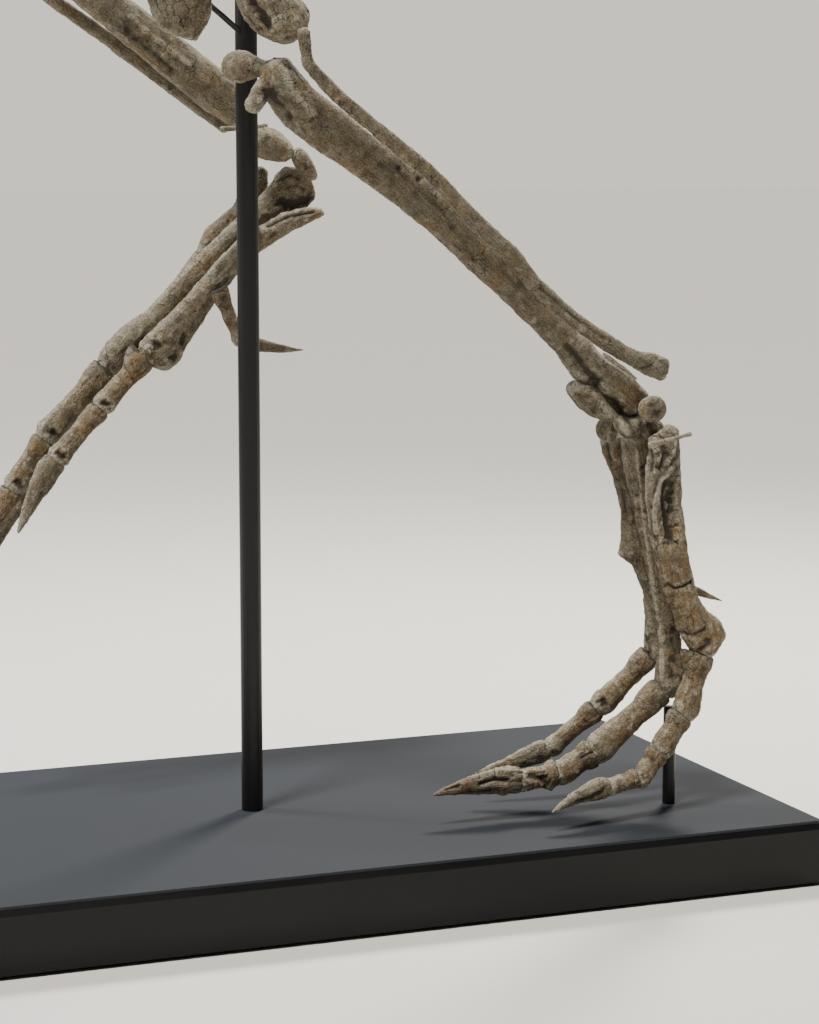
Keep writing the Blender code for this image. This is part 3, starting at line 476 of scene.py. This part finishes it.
# What the photograph shows on single bones, as lines on their near side: half width and height in
# mm (below zero it is cut in), then points (x, z) where the camera sees it on the plane y = plane.
handMarks = {
    "left_metatarsal_4": (-203, [
        (6.0, -7.0, [(446, 523), (450, 511), (443, 497)]),  # upper hollow
        (2.6, 3.0, [(461, 528), (458, 513), (452, 502)]),  # lip beside it
        (2.6, 4.5, [(457, 495), (444, 482), (438, 464), (435, 444), (438, 421)]),  # long curled lip
        (7.0, -9.0, [(451, 477), (450, 455), (453, 430), (457, 412)]),  # long hollow behind the lip
        (4.0, -3.5, [(430, 519), (429, 495)]),  # inner hollow
        (2.2, 1.8, [(424, 524), (422, 495), (423, 460), (429, 424)]),  # inner border
        (1.5, -2.6, [(453, 359), (463, 352), (475, 354), (486, 360)]),  # break across the shaft
        (1.4, -1.8, [(473, 301), (487, 295), (503, 301)]),  # second break
        (4.5, -3.0, [(506, 286), (498, 277)]),  # dent above the joint
    ]),
    "left_metatarsal_3": (-171, [
        (1.8, -0.6, [(414, 521), (421, 468), (432, 401), (444, 334)]),  # groove along the shaft
        (2.0, 1.6, [(426, 515), (434, 455), (446, 382), (460, 308)]),  # ridge along the shaft
        (8.0, -2.8, [(478, 292), (479, 264), (478, 240)]),  # side hollow
        (2.5, 1.6, [(462, 304), (465, 268), (466, 236)]),  # ridge in front of it
    ]),
    "left_metatarsal_2": (-140, [
        (5.0, -3.0, [(402, 513), (407, 494)]),  # hollow under the head
        (1.8, -0.6, [(415, 498), (426, 452), (434, 415)]),  # groove along the shaft
        (5.0, -3.5, [(460, 279), (463, 264)]),  # hollow above the joint
    ]),
    "left_femur_end": (-160, [
        (7.0, -6.0, [(-45, 1029), (-34, 1016), (-29, 1003)]),  # furrow between the two knuckles of the knee
        (9.0, 3.0, [(-13, 1008), (6, 1006)]),  # swelling of the outer knuckle
        (8.0, -4.0, [(-50, 1005), (-41, 994)]),  # hollow under the inner knuckle
        (3.0, -2.0, [(-4, 990), (6, 993)]),  # dent
    ]),
    "left_tibia": (-168, [
        (3.6, -3.4, [(125, 848), (126, 846)]),  # pit
        (3.4, -3.2, [(149, 836), (150, 835)]),  # second pit
        (3.0, 2.6, [(293, 674), (294, 672)]),  # small knob
        (6.0, 3.0, [(-13, 955), (-2, 931), (21, 909)]),  # ridge under the knee
        (8.0, -5.0, [(-28, 931), (-21, 918), (-5, 903)]),  # hollow in front of it
        (6.0, -5.0, [(366, 600), (384, 581), (403, 564)]),  # trough above the ankle
        (5.0, -4.5, [(334, 639), (353, 622), (375, 601)]),  # hollow at the lower end
        (3.0, 2.4, [(347, 648), (378, 621), (408, 598)]),  # ridge at the lower end
        (1.6, 1.6, [(232, 754), (238, 749), (246, 740)]),  # scar
        (1.6, 1.6, [(257, 731), (264, 726), (270, 717)]),  # second scar
    ]),
    "left_fibula": (-187, [
        (1.3, -1.6, [(416, 613), (435, 616), (449, 631)]),  # crack at the lower end
        (1.8, -1.6, [(292, 710), (337, 675), (382, 646)]),  # groove along the shaft
        (5.0, 2.0, [(441, 621), (448, 613)]),  # swelling over the ankle
    ]),
    "left_astragalus": (-172, [
        (8.0, -3.0, [(351, 580), (369, 568)]),  # dished face
        (2.4, 1.8, [(338, 587), (347, 573), (364, 558)]),  # front rim
    ]),
    "left_calcaneum": (-191, [
        (9.0, -2.6, [(441, 569), (443, 563)]),  # dished face
    ]),
    "left_outer_tarsal": (-184, [
        (5.0, -3.0, [(434, 546), (440, 542)]),  # hollow
        (2.6, 2.4, [(452, 550), (453, 547)]),  # knob
    ]),
    "left_middle_tarsal": (-170, [
        (1.8, -1.6, [(411, 551), (421, 541), (424, 531)]),  # furrow
        (2.0, 1.6, [(409, 545), (417, 536)]),  # edge beside it
        (3.0, -2.0, [(431, 548), (428, 541)]),  # dent
    ]),
    "left_inner_tarsal": (-145, [
        (1.8, -0.9, [(397, 549), (398, 533)]),  # upright groove
        (1.8, -0.9, [(406, 548), (406, 531)]),  # second groove
    ]),
    "left_toe_2_phalanx_1": (-132, [
        (4.5, -4.5, [(404, 206), (406, 203)]),  # pit beside the joint
    ]),
    "left_toe_3_phalanx_1": (-173, [
        (1.3, -1.3, [(425, 187), (429, 174)]),  # thin crack
    ]),
    "left_toe_3_phalanx_2": (-172, [
        (1.3, -1.5, [(357, 148), (371, 153), (386, 155)]),  # slanting crack
    ]),
    "left_toe_3_phalanx_3": (-170, [
        (5.5, -5.0, [(292, 132), (308, 126)]),  # hollow under the base
        (3.0, 3.0, [(316, 117), (321, 109)]),  # notched lower edge
    ]),
    "left_toe_3_claw": (-168, [
        (2.6, -4.4, [(228, 127), (244, 131), (262, 128)]),  # side groove
        (1.8, -2.4, [(184, 124), (200, 127)]),  # its end near the tip
        (2.6, -2.2, [(215, 118), (240, 117)]),  # worn strip under it
        (3.0, 1.8, [(214, 138), (240, 142), (266, 140)]),  # ridge over the groove
    ]),
    "left_toe_4_claw": (-232, [
        (2.6, -2.6, [(326, 112), (342, 115), (356, 122)]),  # side groove
    ]),
    "right_metatarsal_3": (107, [
        (7.0, -5.0, [(78, 806), (98, 803), (118, 808)]),  # hollow under the head
        (1.5, -1.5, [(78, 832), (90, 838), (101, 833)]),  # wrinkle
        (1.5, -1.4, [(84, 822), (97, 826), (107, 821)]),  # second wrinkle
    ]),
    "right_metatarsal_2": (78, [
        (2.4, -3.0, [(51, 778), (79, 789), (110, 794)]),  # groove in the ledge
        (2.4, -2.6, [(6, 771), (-20, 747), (-48, 714)]),  # groove along the shaft
        (4.0, -4.5, [(-92, 638), (-90, 636)]),  # pit at the joint
        (5.0, -6.0, [(-69, 622), (-66, 617)]),  # dark hollow
        (4.0, -4.0, [(-57, 646), (-59, 639)]),  # pit on the edge
    ]),
    "right_toe_2_phalanx_1": (72, [
        (1.6, -0.9, [(-141, 607), (-133, 592)]),  # wrinkle
        (1.6, -0.9, [(-130, 611), (-120, 595)]),  # second wrinkle
        (4.2, -5.0, [(-159, 570), (-155, 569)]),  # pit at the joint
    ]),
    "right_toe_2_phalanx_2": (62, [
        (4.2, -5.0, [(-216, 513), (-212, 510)]),  # pit at the joint
    ]),
    "right_toe_3_phalanx_1": (104, [
        (4.0, -4.5, [(-213, 535), (-211, 532)]),  # pit at the joint
    ]),
    "right_toe_3_phalanx_2": (104, [
        (4.0, -4.5, [(-257, 477), (-255, 474)]),  # pit at the joint
    ]),
    "right_tibia": (100, [
        (7.0, -3.5, [(-116, 1008), (-87, 983), (-63, 963)]),  # hollow in the shaft
        (4.0, 2.0, [(-111, 1025), (-75, 995), (-38, 968)]),  # ridge
    ]),
}


def meshSizeFor(name):
    sizes = boneSurface["meshMm"]
    if any(word in name for word in ("splint", "metatarsal_5", "metatarsal_1")):
        return sizes["sliver"]
    if "toe" in name:
        return sizes["toe"]
    if any(word in name for word in ("tarsal", "calcaneum", "astragalus")):
        return sizes["foot"]
    return sizes["long"]


def denseCopy(name, size):
    helper = bpy.data.objects.new(name + "_source", nodes[name].data.copy())
    bpy.context.scene.collection.objects.link(helper)
    remesh = helper.modifiers.new("remesh", "REMESH")
    remesh.mode = "VOXEL"
    remesh.voxel_size = size * mm
    graph = bpy.context.evaluated_depsgraph_get()
    mesh = bpy.data.meshes.new_from_object(helper.evaluated_get(graph))
    source = helper.data
    bpy.data.objects.remove(helper)
    bpy.data.meshes.remove(source)
    mesh.name = name + "_fossil"
    return mesh


# the bone's own directions: along it, then its two ways across
def boneAxes(points):
    middle = points.mean(axis=0)
    _, directions = np.linalg.eigh(np.cov((points - middle).T))
    along = directions[:, 2] * (-1 if directions[2, 2] > 0 else 1)  # points down the leg
    across = np.cross(along, (0.0, 1.0, 0.0))
    across /= np.linalg.norm(across)
    return middle, np.array([along, across, np.cross(along, across)])


# where the camera's sight line to each point crosses the upright plane y = plane
def sightSpots(points, plane):
    eye = np.array(cameraSet["place"]) / mm
    share = (plane - eye[1]) / (points[:, 1] - eye[1])
    return eye[[0, 2]] + (points - eye)[:, [0, 2]] * share[:, None]


def lineDistance(spots, line):
    nearest = np.full(len(spots), np.inf)
    for start, end in zip(line, line[1:]):
        way = np.array(end, float) - start
        along = np.clip((spots - start) @ way / (way @ way), 0, 1)
        nearest = np.minimum(nearest, np.linalg.norm(spots - start - along[:, None] * way, axis=1))
    return nearest


# the height that the marks in the list above add to a bone's near side
def handCarved(name, points, normal, seed):
    total = np.zeros(len(points))
    plane, marks = handMarks.get(name, (0, []))
    if not marks:
        return total
    toEye = np.array(cameraSet["place"]) / mm - points
    facing = (toEye * normal).sum(axis=1) / np.linalg.norm(toEye, axis=1)
    wander = 1 + boneSurface["ragged"] * softNoise(points / boneSurface["raggedMm"], seed + 8)
    spots = sightSpots(points, plane)
    for wide, high, line in marks:
        total += high * np.exp(-(lineDistance(spots, line) * wander / wide) ** 2)
    return total * np.clip(facing * boneSurface["markFacing"], 0, 1)


stainSet = {
    "cloudMm": 30.0,
    "plainOchre": 0.3, "plainCloud": 0.9,
    "toeOchre": 1.15, "toeEnds": 1.5, "toeCloud": 0.7,  # at a toe bone's middle, and what its ends lose
    # below the long hollow of the outer foot bone: the height it starts at, over what, and its limits
    "footFrom": 470.0, "footFadeMm": 90.0, "footCloud": 0.8, "footLimits": (0.1, 0.9),
    # rust towards the tip of the longest claw: from what place along x, over what, and its most
    "rustFrom": 262.0, "rustFadeMm": 120.0, "rustCloud": 0.5, "rustMost": 0.55,
    "rustPatchMm": 6.0, "rustPatch": 0.35, "rustSeed": 77,
}


# how much ochre and rust each point has, from 0 to 1
def stains(name, points, grain, cloud):
    look = stainSet
    out = np.abs(grain[:, 0]) / np.abs(grain[:, 0]).max()
    if "phalanx" in name:
        ochre = np.clip(look["toeOchre"] - look["toeEnds"] * out ** 2 + look["toeCloud"] * cloud, 0, 1)
    elif name == "left_metatarsal_4":
        ochre = (look["footFrom"] - points[:, 2]) / look["footFadeMm"] + look["footCloud"] * cloud
        ochre = np.clip(ochre, *look["footLimits"])
    else:
        ochre = np.clip(look["plainOchre"] + look["plainCloud"] * cloud, 0, 1)
    rust = np.zeros(len(points))
    if name == "left_toe_3_claw":
        patchy = softNoise(points / look["rustPatchMm"], look["rustSeed"])
        rust = (look["rustFrom"] - points[:, 0]) / look["rustFadeMm"] + look["rustCloud"] * cloud
        rust = np.clip(rust + look["rustPatch"] * patchy, 0, look["rustMost"])
    return ochre, rust


# how many rounds of relaxing smooth a mesh of this size over a distance
def roundsOver(distance, size):
    return 4 * (distance / size) ** 2


# smooths the facets away, then gives back what this took from the girth and the ends, except on the
# small ankle bones, which grow instead
def roundedPoints(name, skin, size):
    form = boneSurface
    if name in packedBones:
        return skin.relaxed(skin.points, roundsOver(form["roundMm"], size))
    rounds = roundsOver(min(form["facetMm"], size * form["facetCells"]), size)
    smooth = skin.relaxed(skin.points, rounds)
    return smooth + skin.relaxed(skin.points - smooth, rounds)


# wears the upper ends round
def wearRims(name, skin, size, down):
    for word, (part, fade) in boneSurface["rimPart"].items():
        if word in name:
            worn = np.clip((part - down) / fade, 0, 1)[:, None]
            softer = skin.relaxed(skin.points, roundsOver(boneSurface["rimMm"], size))
            skin.points = skin.points + (softer - skin.points) * worn


# the height in mm that noise gives, from lumps down to grit and pits, and where crust was left on
def noiseRelief(place, seed):
    form = boneSurface
    height = form["lumpHigh"] * softNoise(place / form["lumpMm"], seed)
    height += form["knobHigh"] * softNoise(place / form["knobMm"], seed + 1)
    streaked = place * (1 / form["streakStretch"], 1, 1) / form["streakMm"]
    height += form["streakHigh"] * softNoise(streaked, seed + 2)
    grit = np.abs(softNoise(place / form["gritMm"], seed + 3))
    height += form["gritHigh"] * (grit - form["gritLevel"])
    edge = softNoise(place / form["crustMm"], seed + 6)
    edge = edge + form["crustFray"] * softNoise(place / form["crustFrayMm"], seed + 7)
    crust = np.clip(edge * form["crustSteep"] + form["crustShare"], 0, 1)
    height += form["crustHigh"] * (crust - form["crustLevel"])
    distance, number = nearestSpot(place / form["pitMm"], seed + 4)
    inPit = np.exp(-(distance / form["pitWide"]) ** 2) * (number < form["pitShare"])
    shallow = form["pitShallow"]
    height -= form["pitDeep"] * inPit * (shallow + number / form["pitShare"] * (1 - shallow))
    return height, crust


# what a bone grows by, in mm
def growth(name, down, thin):
    form = boneSurface
    grown = packedBones.get(name, form["swellMm"])
    if "phalanx" in name or "metatarsal" in name:
        ball = np.clip((down - form["ballFrom"]) / form["ballFade"], 0, 1)
        waist = np.exp(-((down - form["waistAt"]) / form["waistWide"]) ** 2)
        grown = grown + form["ballMm"] * ball * thin + form["waistMm"] * waist * thin
    return grown


# relief for the colour: how far the skin stands out of its smoothed self; low skin gets dirt and painted
# shade, high skin dust and a painted highlight
def reliefTone(name, skin, size, down, marked):
    form = boneSurface
    smooth = skin.relaxed(skin.points, roundsOver(form["reliefMm"], size))
    stands = ((skin.points - smooth) * skin.normals()).sum(axis=1)
    stands = skin.relaxed(stands, form["reliefRounds"])
    plain = form["reliefSliver"] if size == form["meshMm"]["sliver"] else form["reliefPlain"]
    relief = plain + (stands - np.median(stands)) * form["reliefStand"] + marked * form["reliefMark"]
    if "phalanx" in name or "claw" in name:  # dirt and painted shade in the seams between the toe bones
        relief -= form["seamShadeAndDirt"] * np.clip(1 - down / form["seamPart"], 0, 1)
    return np.clip(relief, 0, 1)


def carveBone(name):
    size = meshSizeFor(name)
    mesh = denseCopy(name, size)
    skin = BoneSkin(mesh)
    letters = enumerate(name, 3)
    seed = sum(order * ord(letter) for order, letter in letters) % noiseSet["seeds"]  # from its name
    skin.points = roundedPoints(name, skin, size)

    middle, axes = boneAxes(skin.points)
    grain = (skin.points - middle) @ axes.T
    down = (grain[:, 0] - grain[:, 0].min()) / np.ptp(grain[:, 0])  # 0 at the upper end, 1 at the lower
    wearRims(name, skin, size, down)
    normal = skin.normals()
    thickness = np.ptp(grain[:, 1:], axis=0).min()
    thin = np.clip(thickness / boneSurface["fullReliefMm"], boneSurface["leastRelief"], 1.0)
    place = grain + seed * boneSurface["seedStep"]
    height, crust = noiseRelief(place, seed)
    marked = handCarved(name, skin.points, normal, seed)
    outward = height * thin + growth(name, down, thin) + marked
    for spot, reach, move in pulls.get(name, []):
        share = np.exp(-(np.linalg.norm(skin.points - spot, axis=1) / reach) ** 2)
        skin.points = skin.points + share[:, None] * move
    low, high = (np.array(corner) * 1000 for corner in cadBox)
    skin.points = np.clip(skin.points + normal * outward[:, None], low, high)

    relief = reliefTone(name, skin, size, down, marked)
    cloud = softNoise(place / stainSet["cloudMm"], seed + 5)
    tone = np.column_stack([relief, *stains(name, skin.points, grain, cloud), crust])

    mesh.vertices.foreach_set("co", (skin.points * mm).ravel())
    grainMap = mesh.attributes.new("boneGrain", "FLOAT_VECTOR", "POINT")
    grainMap.data.foreach_set("vector", (grain + seed).ravel())
    toneMap = mesh.attributes.new("boneTone", "FLOAT_COLOR", "POINT")
    toneMap.data.foreach_set("color", tone.ravel())
    mesh.shade_smooth()
    mesh.materials.clear()
    mesh.materials.append(boneFinish)
    piece = bpy.data.objects.new(name + "_fossil", mesh)
    bpy.context.scene.collection.objects.link(piece)
    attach(piece, "root")
    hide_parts(name)
    return piece


triangles = 0
for name in boneNodes:
    triangles += 2 * len(carveBone(name).data.polygons)
print("bones carved:", len(boneNodes), "pieces,", triangles, "triangles")


def dress(name, finish):
    node = nodes[name]
    node.data.materials.clear()
    node.data.materials.append(finish)


dress("top_panel", boardFinish)
for name in ("plinth_box", "foot_board"):
    dress(name, lacquerFinish)
for name in ("tall_post", "short_post", "knee_arm", "ankle_arm", "pubis_rod"):
    dress(name, steelFinish)
print("plinth and posts finished")


stageSet = {
    "floor": "#dedcd7", "floorCloud": "#dedbd5", "cloudMm": 700.0,
    "floorReach": 60.0, "floorDropMm": 0.3,  # half its width in m, and its gap under the plinth
    "farFloor": 0.965,  # a matt floor gives back a little less at a flat angle
    # the sky's colour, its strength at the horizon, and what the top adds
    "air": "#f0eeea", "airLevel": 0.04, "airAbove": 0.24,
    # broad light from above: where it comes from, strength, width in degrees, colour
    "above": ((-0.42, -0.30, 1.2), 4.1, 10.0, "#fffaf2"),
    # lamps behind the object: place, what it looks at, size, watts, colour
    "right": ((1.6, 1.4, 2.4), (0.2, -0.1, 0.4), 0.7, 110.0, "#fff6ea"),
    "left": ((-2.0, 1.5, 2.4), (0.1, 0.0, 0.4), 0.7, 80.0, "#f3f6ff"),
}


# Studio floor in one pale matt paint, in faint clouds, so that it stays plain under the shadows.
def paintedStudioFloor():
    look = stageSet
    finish, tree, shader = newFinish("paintedStudioFloor", {"IOR": 1.5, "Roughness": 0.85})
    place = addNode(tree, "ShaderNodeTexCoord").outputs["Object"]
    cloud = addNode(tree, "ShaderNodeTexNoise", values={
        "Scale": 1 / (look["cloudMm"] * mm), "Detail": 2.0}, links={"Vector": place}).outputs["Fac"]
    colour = addNode(tree, "ShaderNodeMix", {"data_type": "RGBA"}, {
        6: hexColour(look["floor"]), 7: hexColour(look["floorCloud"])}, {0: cloud}).outputs[2]
    tree.links.new(colour, shader.inputs["Base Color"])
    return finish


def layFloor():
    reach = stageSet["floorReach"]
    mesh = bpy.data.meshes.new("studioFloor")
    corners = [(-reach, -reach, 0), (reach, -reach, 0), (reach, reach, 0), (-reach, reach, 0)]
    mesh.from_pydata(corners, [], [(0, 1, 2, 3)])
    mesh.materials.append(paintedStudioFloor())
    floor = bpy.data.objects.new("studioFloor", mesh)
    floor.location.z = -stageSet["floorDropMm"] * mm
    bpy.context.scene.collection.objects.link(floor)


def hangLamp(name):
    place, target, size, watts, colour = stageSet[name]
    lamp = bpy.data.lights.new(name + "Lamp", "AREA")
    lamp.shape = "DISK"
    lamp.size = size
    lamp.energy = watts
    lamp.color = hexColour(colour)[:3]
    holder = bpy.data.objects.new(name + "Lamp", lamp)
    holder.location = place
    holder.rotation_euler = (Vector(target) - Vector(place)).to_track_quat("-Z", "Y").to_euler()
    bpy.context.scene.collection.objects.link(holder)


def hangBroadLight():
    way, strength, wide, colour = stageSet["above"]
    lamp = bpy.data.lights.new("broadLight", "SUN")
    lamp.energy = strength
    lamp.angle = math.radians(wide)
    lamp.color = hexColour(colour)[:3]
    holder = bpy.data.objects.new("broadLight", lamp)
    holder.location = way
    holder.rotation_euler = Vector(way).to_track_quat("Z", "Y").to_euler()
    bpy.context.scene.collection.objects.link(holder)


def fillAir():
    world = bpy.data.worlds.new("studioAir")
    world.use_nodes = True
    tree = world.node_tree
    tree.nodes.clear()
    way = addNode(tree, "ShaderNodeTexCoord").outputs["Generated"]
    up = addNode(tree, "ShaderNodeSeparateXYZ", links={"Vector": way}).outputs["Z"]
    level, above = stageSet["airLevel"], stageSet["airAbove"]
    airStrength = addNode(tree, "ShaderNodeMapRange", values={
        "To Min": level, "To Max": level + above}, links={"Value": up}).outputs["Result"]
    light = addNode(tree, "ShaderNodeBackground", values={"Color": hexColour(stageSet["air"])},
                    links={"Strength": airStrength})
    # above the horizon the camera sees what the far floor gives back, so that no line shows there;
    # the floor gets two thirds of what the top adds, since the strength rises with height
    way, strength, _, lampColour = stageSet["above"]
    fromLamp = strength * Vector(way).normalized().z / math.pi
    fromAir = level + above * 2 / 3
    farFloor = [stageSet["farFloor"] * floorPart * (airPart * fromAir + lampPart * fromLamp)
                for floorPart, airPart, lampPart in zip(
                    hexColour(stageSet["floor"]), hexColour(stageSet["air"]), hexColour(lampColour))]
    seen = addNode(tree, "ShaderNodeBackground", values={"Color": farFloor, "Strength": 1.0})
    path = addNode(tree, "ShaderNodeLightPath")
    mixed = addNode(tree, "ShaderNodeMixShader", links={
        0: path.outputs["Is Camera Ray"], 1: light.outputs[0], 2: seen.outputs[0]})
    addNode(tree, "ShaderNodeOutputWorld", links={"Surface": mixed.outputs[0]})
    bpy.context.scene.world = world


def placeCamera():
    lens = bpy.data.cameras.new("photoCamera")
    lens.lens = cameraSet["lens"]
    lens.sensor_width = cameraSet["sensor"]
    lens.sensor_fit = "AUTO"
    lens.clip_end = cameraSet["reach"]
    camera = bpy.data.objects.new("photoCamera", lens)
    camera.location = cameraSet["place"]
    camera.rotation_euler = (math.radians(cameraSet["tilt"]), 0.0, math.radians(cameraSet["turn"]))
    bpy.context.scene.collection.objects.link(camera)
    bpy.context.scene.camera = camera


layFloor()
hangBroadLight()
for name in ("right", "left"):
    hangLamp(name)
fillAir()
placeCamera()
print("floor, light and camera set")
